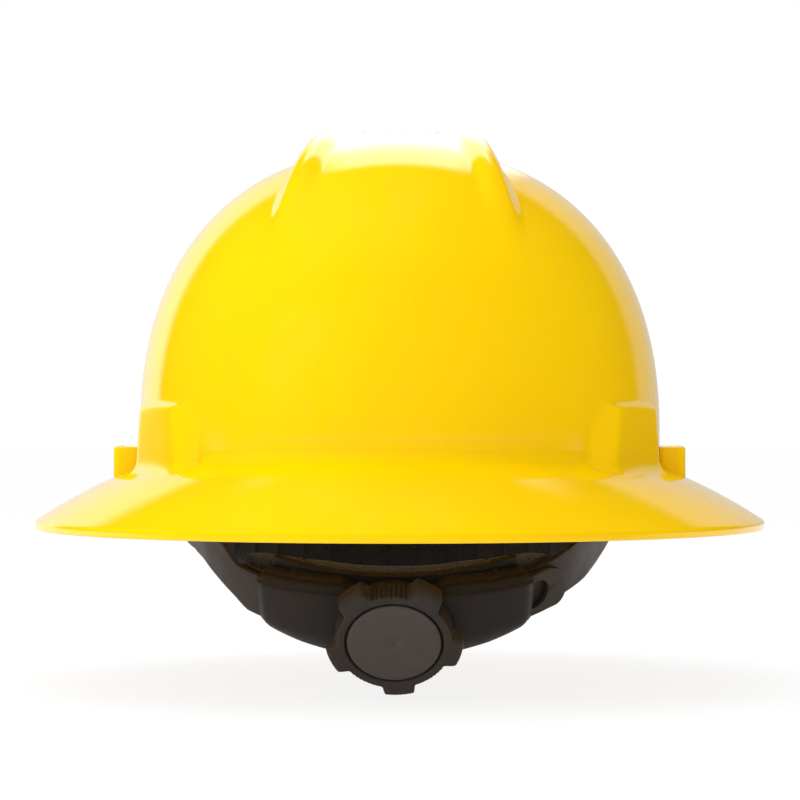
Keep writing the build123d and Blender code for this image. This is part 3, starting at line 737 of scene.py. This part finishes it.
def wing_section(turn):
    """The housing's C-shaped section round the rack channel, drawn in at the wings' ends."""
    way = abs(turn)
    tables = (wing_top, wing_ridge, wing_foot, wing_low)
    top, ridge, foot, low = (float(np.interp(way, wing_turns, table)) for table in tables)
    close = ease(way, housing_turn - wing_end_run, housing_turn)
    outer = wing_outer - wing_end_round[0] * close
    top = top - wing_end_round[1] * close
    low = low + wing_end_round[2] * close
    back = -channel_half + 0.1
    return rounded_section(
        [
            (back, low, 0.4),
            (back, -channel_high, 0.3),
            (channel_half, -channel_high, 0.3),
            (channel_half, channel_high, 0.3),
            (back, channel_high, 0.3),
            (back, top, 0.6),
            (outer - 4.2, top, 2.2),
            (outer - 0.6, (top + ridge) / 2 + 0.8, 2.5),
            (outer, ridge, 2.6),
            (outer + 0.1, (ridge + foot) / 2, 4),
            (outer, foot, 2.6),
            (outer - 2.6, low, 1.4),
        ],
        4,
    )


housing_turns = [-wing_last_turns[::-1], np.arange(-33.5, 34, 1.0), wing_last_turns]
housing = sweep("ratchet_wings", np.concatenate(housing_turns), ring_point, wing_section)


def knob_space(x, y, high):
    """A point in the knob's own plane: across, up and out from the racks' middle."""
    parts = zip(np.broadcast_arrays(x, y, high), ((1, 0, 0), knob_up, knob_out))
    return sum((np.multiply.outer(size, way) for size, way in parts), knob_centre)


def turned(name, rows, columns=96):
    """Rings round the knob's axis, each (radius, height), closed on the axis at both ends."""
    around = np.linspace(0, 2 * pi, columns, endpoint=False)
    rings = []
    for radius, height in rows:
        if callable(radius):
            radius = radius(around)
        rings.append(knob_space(radius * np.cos(around), radius * np.sin(around), height))
    ends = knob_space(np.zeros(2), np.zeros(2), np.array((rows[0][1], rows[-1][1])))
    made = make_object(name, np.concatenate(rings + [ends]), point_ended(len(rows), columns))
    fix_normals(made)
    return made


hub_rows = [(18.6, 1.0), (18.6, 5.4), (18.3, 6.0), (17.7, 6.28), (14.0, 6.3), (6.0, 6.3)]
hub = turned("ratchet_hub", hub_rows)


# Knob

knob_radius = 25.75
knob_lobes = 5
knob_first_lobe = 58
scallop_floor = 22
scallop_sides = (radians(19), radians(24.5))
knob_base = 6.7
knob_top = 15.6
cap_radius = 17.4
cap_seat = cap_radius + 1.2
least_room = 0.3
serration_pitch = radians(4.75)
serration_depth = 0.9
serration_power = 0.7
serration_ends = (radians(19.3), radians(17.3))


def knob_outline(around):
    """The knob's outline, lobes with scallops between them, and the angle from a scallop."""
    pitch = 2 * pi / knob_lobes
    start = radians(knob_first_lobe) + pitch / 2
    away = (around - start + pitch / 2) % pitch - pitch / 2
    return between(scallop_floor, knob_radius, ease(np.abs(away), *scallop_sides)), away


def serration(away):
    """Depth of the fine grip teeth in the scallops."""
    wave = (1 - np.cos(2 * pi * away / serration_pitch)) / 2
    return serration_depth * ease(np.abs(away), *serration_ends) * wave**serration_power


def knob_ring(inset, teeth):
    """A ring of the knob, drawn in from its outline, less where a scallop is deep."""

    def radius(around):
        """The ring's radius at angles round the knob."""
        outline, away = knob_outline(around)
        room = np.clip((outline - cap_seat) / (knob_radius - cap_seat), least_room, 1)
        return outline - inset * room - teeth * serration(away)

    return radius


knob_rows = [
    (7.0, knob_base),
    (knob_ring(0.9, 1), knob_base),
    (knob_ring(0.3, 1), knob_base + 0.3),
    (knob_ring(0, 1), knob_base + 1.0),
    (knob_ring(0, 1), knob_top - 3.2),
    (knob_ring(0.1, 1), knob_top - 2.0),
    (knob_ring(0.35, 0.9), knob_top - 1.3),
    (knob_ring(0.8, 0.5), knob_top - 0.75),
    (knob_ring(1.5, 0.1), knob_top - 0.35),
    (knob_ring(2.4, 0), knob_top - 0.12),
    (knob_ring(3.6, 0), knob_top - 0.05),
    (cap_seat, knob_top - 0.1),
    (cap_radius + 0.95, knob_top - 0.4),
    (cap_radius + 0.8, knob_top - 0.9),
    (cap_radius + 0.8, knob_top - 2.0),
    (cap_radius - 0.6, knob_top - 2.05),
]
knob = turned("ratchet_knob", knob_rows, columns=1080)
finish_piece(knob, knob_grey, "knob_body", ["knob"])

cap_rows = [
    (cap_radius - 0.5, knob_top - 1.8),
    (cap_radius, knob_top - 1.7),
    (cap_radius, knob_top - 0.45),
    (cap_radius - 0.12, knob_top - 0.18),
    (cap_radius - 0.4, knob_top - 0.03),
    (cap_radius - 1.0, knob_top + 0.03),
    (cap_radius - 6.0, knob_top + 0.1),
    (cap_radius - 12.0, knob_top + 0.15),
    (0.95, knob_top + 0.16),
    (0.7, knob_top - 0.05),
]
cap = turned("knob_disc", cap_rows, columns=160)
finish_piece(cap, cap_grey, "knob_body", ["knob_cap"])

finish_piece(housing, housing_black, "ratchet_body", ["ratchet_housing"])
finish_piece(hub, housing_black, "ratchet_body", ())


# Rack arms

arm_thickness = 1.8
arm_shift = 1.55
arm_half_height = 12
arm_bevel = 0.35
arm_bevel_angle = radians(40)
arm_bands = 5
rack_half_height = 9.6
rack_start = 46
fade_start = 57
rack_end = 49.3
rack_slot_half = 6.2
rack_slot_start = 16
rack_slot_end = 42.3
rack_slot_least = 0.4
arc_length = radians(1) * band_half_width
quarters = (0, 0.25, 0.5, 0.75, 1)
arm_widening = (0, 0.4, 0.85, 1, 1)
cone_fade = (0, 0.1, 0.5, 0.9, 1)

# How the arms' edges bend between the housing and the rim, and where the loop ends droop
left_low_turns = (42, 46.4, 53.5, 60, 66, 72, 80, 90)
left_low_lift = (0, 3.6, 8, 11.4, 11.4, 8, 3, 0)
left_high_lift = (7, (43.5, 50), (54, 64))
right_low_lift = (3, (60, 74), (78, 90))
loop_droop = (42.5, 50)
left_droop, right_droop = 3.5, 3


def arm_columns(depth):
    """Columns along a rack arm: angle, depth shift, cone share, outer edge and slot edge."""
    slot_run, loop_run = rack_slot_half / arc_length, rack_half_height / arc_length
    loop_middle, slot_far = rack_end - loop_run, rack_slot_end - slot_run
    quarter_turn = np.linspace(0.15, pi / 2, 8)
    angles = np.concatenate(
        [
            np.linspace(-90, -rack_slot_start - slot_run, 50),
            -rack_slot_start - slot_run * np.cos(quarter_turn),
            np.linspace(-rack_slot_start, slot_far, 48)[1:],
            slot_far + slot_run * np.sin(quarter_turn),
            loop_middle + loop_run * np.sin(np.linspace(0.5, pi / 2 - 0.12, 9)),
        ]
    )
    angles = np.array(sorted(angles))
    share = np.clip((-angles - rack_start) / (90 - rack_start), 0, 1)
    tall = between(rack_half_height, arm_half_height, np.interp(share, quarters, arm_widening))
    beyond = np.clip((angles - loop_middle) * arc_length / rack_half_height, 0, 1)
    tall = tall * np.sqrt(np.clip(1 - beyond**2, 0, 1))
    lean = np.clip((-angles - fade_start) / (90 - fade_start), 0, 1)
    cone = 1 - np.interp(lean, quarters, cone_fade)
    near = np.clip((-rack_slot_start - angles) * arc_length / rack_slot_half, 0, 1)
    far = np.clip((angles - slot_far) * arc_length / rack_slot_half, 0, 1)
    slot = rack_slot_half * np.sqrt(np.clip(1 - np.maximum(near, far) ** 2, 0, 1))
    return angles, depth * cone, cone, tall, np.where(slot < rack_slot_least, 0, slot)


def arm_rises(side, angles, talls):
    """Lower and upper edge of an arm, and the shift of its slot."""

    def hump(height, start, finish):
        """A rise of the edge that comes and goes between two spans of angles."""
        return height * ease(-angles, *start) * (1 - ease(-angles, *finish))

    low, high = -talls, talls
    if side < 0:
        low = low + np.interp(-angles, left_low_turns, left_low_lift)
        high = high + hump(*left_high_lift)
        droop = left_droop * ease(angles, *loop_droop)
    else:
        low = low + hump(*right_low_lift)
        droop = right_droop * ease(angles, *loop_droop)
    return low - droop, high - droop, -droop


def arm_mesh(name, side, depth):
    """A rack arm: a strip round the nape ring with its slot, thickened both ways."""
    angles, shifts, cones, talls, slots = arm_columns(depth)
    lows, highs, slot_shift = arm_rises(side, angles, talls)
    points, faces = [], []
    index = {}

    def add_face(*corners):
        """A face from (column, rise, side of the strip), less what falls together."""
        numbers = []
        for column, rise, face in corners:
            key = (column, round(rise, 4), face)
            if key not in index:
                index[key] = len(points)
                points.append((column, rise, face))
            numbers.append(index[key])
        faces.append(tuple(dict.fromkeys(numbers)))

    def levels(column, upper):
        """Rises of the points in a column, below or above the slot."""
        slot, middle = slots[column], slot_shift[column]
        if slot == 0:
            middle = (lows[column] + highs[column]) / 2
        low, high = (middle + slot, highs[column]) if upper else (lows[column], middle - slot)
        return [low + (high - low) * step / arm_bands for step in range(arm_bands + 1)]

    last = len(angles) - 1
    for column in range(last):
        beside = column + 1
        for upper in (False, True):
            here, there = levels(column, upper), levels(beside, upper)
            for face in (0, 1):
                for low, far_low, far_high, high in zip(here, there, there[1:], here[1:]):
                    add_face(
                        (column, low, face),
                        (beside, far_low, face),
                        (beside, far_high, face),
                        (column, high, face),
                    )
            for edge, on_slot in ((0, upper), (arm_bands, not upper)):
                if not on_slot or slots[column] or slots[beside]:
                    near, far = (column, here[edge]), (beside, there[edge])
                    add_face((*near, 0), (*far, 0), (*far, 1), (*near, 1))
    for column in (0, last):
        for upper in (False, True):
            rises = levels(column, upper)
            for low, high in zip(rises, rises[1:]):
                add_face((column, low, 0), (column, high, 0), (column, high, 1), (column, low, 1))
    placed = []
    for column, rise, face in points:
        offset = shifts[column] + arm_thickness * (face - 0.5)
        turn = radians(-side * angles[column])
        out = np.array((sin(turn), 0, 0)) - nape_forward * cos(turn)
        radius = band_half_width + offset + rise * sin(nape_cone * cones[column])
        placed.append(nape_centre + out * radius + nape_up * rise)
    made = make_object(name, placed, [face for face in faces if len(face) > 2])
    fix_normals(made)
    limit = {"limit_method": "ANGLE", "angle_limit": arm_bevel_angle}
    modify(made, "BEVEL", width=arm_bevel * MM, segments=2, **limit)
    return made


left_arm = arm_mesh("rack_arm_left", -1, arm_shift)
right_arm = arm_mesh("rack_arm_right", 1, -arm_shift)
finish_piece(left_arm, arm_black, "left_arm_body", ["left_arm"])
finish_piece(right_arm, arm_black, "right_arm_body", ["right_arm"])


# Nape pad

pad_back = -5.85
pad_thickness = 7.3
pad_turn = 47
pad_channels = (-28, 28)
pad_halves = ((0, 20, 33, 42, 47), (16.8, 16.2, 13.6, 11, 8.6))
channel_width = 0.6
channel_depth = 0.2


def nape_pad_section(turn):
    """A cushion section with a flat top and foot, pinched at its sewn seams and its ends."""
    share = abs(turn) / pad_turn
    full = sqrt(max(1 - share**6, 0.0))
    pinch = max(np.exp(-(((turn - channel) / channel_width) ** 2)) for channel in pad_channels)
    half = float(np.interp(abs(turn), *pad_halves)) * (1 - 0.03 * pinch)
    thick = pad_thickness * (0.3 + 0.7 * full) * (1 - channel_depth * pinch)
    upper = [
        (pad_back, half - 0.5, 0.5),
        (pad_back - 0.6, half, 0.8),
        (pad_back - thick * 0.85, half, 2),
        (pad_back - thick, half * 0.7, 3),
    ]
    lower = [(depth, -rise, radius) for depth, rise, radius in reversed(upper)]
    return rounded_section(upper + [(pad_back - thick, 0, 4)] + lower, 4)


pad_turns = np.linspace(-pad_turn, pad_turn, 281)
nape_pad = sweep("nape_cushion", pad_turns, ring_point, nape_pad_section)


# Brow pad

oval_length = 124.1
brow_start = 20.8
brow_inner = 4
brow_outer = 1.6
band_face = 1.2
brow_fold = 2.9
brow_end_share = 0.035
brow_end_drop = 1.5
brow_low_curve = np.polyfit((18, 41.2, 103), (-11.7, -16.5, -29), 2)
brow_high_curve = np.polyfit((18, 41.2, 103), (10, 8.5, 7), 2)
quilt_count = 15


def oval_point(turn, offset, height):
    """A point of the headband's oval: angle from +X, offset outward, height."""
    turn, offset, height = np.broadcast_arrays(np.radians(turn), offset, height)
    x = (band_half_width + offset) * np.cos(turn)
    return np.stack([x, nape_centre[1] + (oval_length + offset) * np.sin(turn), height], -1)


def brow_section(turn):
    """The pad's U-shaped section, folded under the headband and up its outside."""
    y = nape_centre[1] + oval_length * sin(radians(turn))
    along = (turn - brow_start) / (180 - 2 * brow_start)
    close = min(along, 1 - along) / brow_end_share
    full = sqrt(1 - (1 - min(close, 1)) ** 2)
    low = np.polyval(brow_low_curve, y) + brow_end_drop * (1 - full)
    high = np.polyval(brow_high_curve, y) - brow_end_drop * (1 - full)
    wave = abs(sin(pi * quilt_count * along)) ** 0.5
    thick = brow_inner * (0.45 + 0.55 * full) * (0.72 + 0.28 * wave)
    return rounded_section(
        [
            (-band_face, high, 0.5),
            (-band_face - thick * 0.55, high - 0.2, 1.2),
            (-band_face - thick * 0.9, high - 3, 2),
            (-band_face - thick, (low + high) / 2, 6),
            (-band_face - thick * 0.9, low + 5, 2),
            (-band_face - thick * 0.5, low + 0.8, 1.5),
            (0, low, 1.5),
            (band_face + brow_outer * 0.8, low + 0.8, 1.2),
            (band_face + brow_outer, low + 4, 1.5),
            (band_face + brow_outer, high - 2, 1.2),
            (band_face + 0.2, high, 0.4),
            (band_face, high - 2, 0.3),
            (band_face, low + brow_fold, 0.4),
            (-band_face, low + brow_fold, 0.4),
        ],
        3,
    )


brow_turns = np.linspace(brow_start, 180 - brow_start, 301)
brow_pad = sweep("brow_cushion", brow_turns, oval_point, brow_section)


# Crown straps

strap_width = 19
strap_thickness = 1.15
strap_edge = 0.5
bar_drop = 6.2
bar_height = 19
strap_gap = 2.5
strap_bend_height = 22.5
strap_start_height = 27
strap_tail_gap = 1.6
strap_tail_bend = 32
strap_tail_height = 38
strap_apex = 118
strap_upper_apex = 120.3
strap_angle = atan2(pocket[1], pocket[0])
weave_scale = 10 * MM


def strap_path(apex):
    """The strap's middle line in its own upright plane, from one sewn tail to the other."""
    bar_reach = hypot(*pocket) - bar_drop
    start = bar_reach - strap_gap + 0.3
    tail = start + strap_tail_gap
    climb = apex - strap_start_height
    sphere = (start**2 + climb**2) / (2 * climb)
    tail_reach = tail - start + sqrt(sphere**2 - (strap_tail_height - apex + sphere) ** 2)
    half = [
        (tail_reach, strap_tail_height),
        (tail + 0.1, strap_tail_bend),
        (tail, strap_start_height),
        (bar_reach + strap_gap - 0.05, strap_bend_height),
    ]
    for turn in np.linspace(0, -pi, 13):
        half.append((bar_reach + strap_gap * cos(turn), bar_height + strap_gap * sin(turn)))
    half.append((bar_reach - strap_gap + 0.1, strap_bend_height))
    widest = atan2(start, strap_start_height - apex + sphere)
    over = [
        (sphere * sin(turn), apex - sphere + sphere * cos(turn))
        for turn in np.linspace(widest, -widest, 97)
    ]
    return np.array(half + over + [(-x, z) for x, z in reversed(half)])


def strap(name, turn, apex):
    """Webbing swept along its path, with its length and width as UVs for the weave."""
    path = strap_path(apex)
    across = np.array((cos(turn), sin(turn)))
    aside = np.array((-sin(turn), cos(turn)))
    tangent = np.gradient(path, axis=0)
    tangent = tangent / np.linalg.norm(tangent, axis=1, keepdims=True)
    normal = np.column_stack([tangent[:, 1], -tangent[:, 0]])
    half, thick = strap_width / 2, strap_thickness / 2
    middle = [(side, -thick) for side in (-half + strap_edge, -half * 0.5, 0, half * 0.5)]
    lower = [(-half, -thick * 0.4), *middle, (half - strap_edge, -thick), (half, -thick * 0.4)]
    section = lower + [(-side, -depth) for side, depth in lower]
    count = len(section)
    points = []
    for place, lean in zip(path, normal):
        for side, depth in section:
            reach, height = place + lean * depth
            points.append((*(across * reach + aside * side), height))
    made = make_object(name, points, flat_ended(len(path), count))
    length = np.concatenate([[0], np.cumsum(np.linalg.norm(np.diff(path, axis=0), axis=1))])
    layer = made.data.uv_layers.new(name="weave")
    for loop in made.data.loops:
        row, column = divmod(loop.vertex_index, count)
        layer.data[loop.index].uv = (length[row] * weave_scale, section[column][0] * weave_scale)
    fix_normals(made)
    return made


lower_strap = strap("strap_lower", strap_angle, strap_apex)
upper_strap = strap("strap_upper", pi - strap_angle, strap_upper_apex)
finish_piece(lower_strap, strap_black, "helmet", ["crown_strap_lower"])
finish_piece(upper_strap, strap_black, "helmet", ["crown_strap_upper"])
finish_piece(nape_pad, pad_black, "ratchet_body", ["nape_pad"])
# The brow pad takes the black cloth darkened with painted shade.
finish_piece(brow_pad, brow_black_painted_shade, "helmet", ["brow_pad"])

# The CAD nodes that stay are moulded nylon
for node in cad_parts:
    if node != "shell":
        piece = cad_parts[node]
        piece.data.materials.clear()
        piece.data.materials.append(nylon_black)


# Camera, floor and light

camera_distance = 1408
camera_height = 51
camera_turn = radians(1.15)
camera_lens = 158.4
floor_height = -61.5
floor_reach = 6000

# The room is a little brighter on the photograph's left. In gloss it is a white backdrop
# behind the hat, a dim room on the camera's side and a soft box over the crown.
room_level = 1.0
room_lean = 0.36
dim_level = 0.015
backdrop_edge = (45, 38)
backdrop_sides = (-0.7, 0.7)
backdrop_lean = (1.1, 0.3)
box_rise = 0.3
box_level = 2.5
box_low = (0.12, 0.3)
box_side = (0.5, 0.2)
floor_dim = (-0.25, 0.1)
light_aim = (0, 0, 0.05)

camera_data = bpy.data.cameras.new("camera")
camera_data.lens = camera_lens
camera_data.sensor_width = 36
camera_data.clip_start = 0.05
camera_data.clip_end = 40
camera = bpy.data.objects.new("camera", camera_data)
bpy.context.scene.collection.objects.link(camera)
camera.location = (
    camera_distance * sin(camera_turn) * MM,
    -camera_distance * cos(camera_turn) * MM,
    camera_height * MM,
)
camera.rotation_euler = (pi / 2, 0, camera_turn)
bpy.context.scene.camera = camera


def stage_material(name, shade, own_light):
    """A sheet that stays white to the camera and in gloss, and still takes the hat's shadow."""
    made, tree, shader = new_material(name)
    inputs = {"Base Color": (shade, shade, shade, 1), "Roughness": 0.9, "Specular IOR Level": 0.2}
    set_inputs(tree, shader, inputs)
    rays = add_node(tree, "LightPath").outputs
    place = add_node(tree, "TexCoord").outputs["Object"]
    depth = add_node(tree, "SeparateXYZ", {"Vector": place}).outputs["Y"]
    in_gloss = map_range(tree, depth, *floor_dim, dim_level, 1)
    glow = add_node(tree, "Emission", {"Strength": mix(tree, rays["Is Glossy Ray"], 1, in_gloss)})
    shown = rays["Is Camera Ray"]
    for ray in ("Is Glossy Ray", "Is Transmission Ray"):
        shown = work_out(tree, "MAXIMUM", shown, rays[ray])
    share = work_out(tree, "MULTIPLY", shown, own_light)
    shaders = {"Fac": share, 1: shader.outputs["BSDF"], 2: glow.outputs["Emission"]}
    surface = add_node(tree, "MixShader", shaders).outputs["Shader"]
    tree.links.new(surface, tree.nodes["Material Output"].inputs["Surface"])
    return made


floor_corners = [
    (x * floor_reach, y * floor_reach, floor_height)
    for x, y in ((-1, -1), (1, -1), (1, 1), (-1, 1))
]
floor = make_object("floor", floor_corners, [(0, 1, 2, 3)], smooth=False)
floor.data.materials.append(stage_material("floor_white", 0.95, 0.85))

world = bpy.data.worlds.new("world")
bpy.context.scene.world = world
world.use_nodes = True
sky = world.node_tree
rays = add_node(sky, "LightPath").outputs
generated = add_node(sky, "TexCoord").outputs["Generated"]
way = add_node(sky, "SeparateXYZ", {"Vector": generated}).outputs

room = map_range(sky, way["X"], -1, 1, room_level + room_lean, room_level - room_lean)
backdrop_ends = [cos(radians(edge)) for edge in backdrop_edge]
backdrop = map_range(sky, way["Y"], *backdrop_ends, 0, 1, "SMOOTHSTEP")
side_level = map_range(sky, way["X"], *backdrop_sides, *backdrop_lean)
lit = work_out(sky, "MAXIMUM", work_out(sky, "MULTIPLY", backdrop, side_level), dim_level)

# The soft box is seen along the top of the crown only
raised = work_out(sky, "ADD", way["Y"], work_out(sky, "MULTIPLY", way["Z"], box_rise))
box = map_range(sky, raised, *backdrop_ends, 0, box_level, "SMOOTHSTEP")
aside = work_out(sky, "DIVIDE", work_out(sky, "ABSOLUTE", way["X"], 0), way["Z"])
for value, bounds in ((way["Z"], box_low), (aside, box_side)):
    inside = map_range(sky, value, *bounds, 0, 1, "SMOOTHSTEP")
    box = work_out(sky, "MULTIPLY", box, inside)
strength = mix(sky, rays["Is Glossy Ray"], room, work_out(sky, "ADD", lit, box))
for ray in ("Is Camera Ray", "Is Transmission Ray"):
    strength = mix(sky, rays[ray], strength, 1.0)
set_inputs(sky, sky.nodes["Background"], {"Color": (1, 1, 1, 1), "Strength": strength})

# Lamps: soft boxes that gloss doesn't show, with their places, sizes and powers
for name, place, size, power in (
    ("light_top", (-0.3, 0.1, 1.5), 1.2, 8),
    ("light_left", (-1.5, -1.0, 0.7), 1.0, 6),
):
    data = bpy.data.lights.new(name, "AREA")
    data.shape = "RECTANGLE"
    data.size = data.size_y = size
    data.energy = power
    lamp = bpy.data.objects.new(name, data)
    bpy.context.scene.collection.objects.link(lamp)
    lamp.location = place
    lamp.rotation_euler = (Vector(light_aim) - Vector(place)).to_track_quat("-Z", "Y").to_euler()
    lamp.visible_glossy = False

bpy.context.scene.view_settings.view_transform = "Standard"
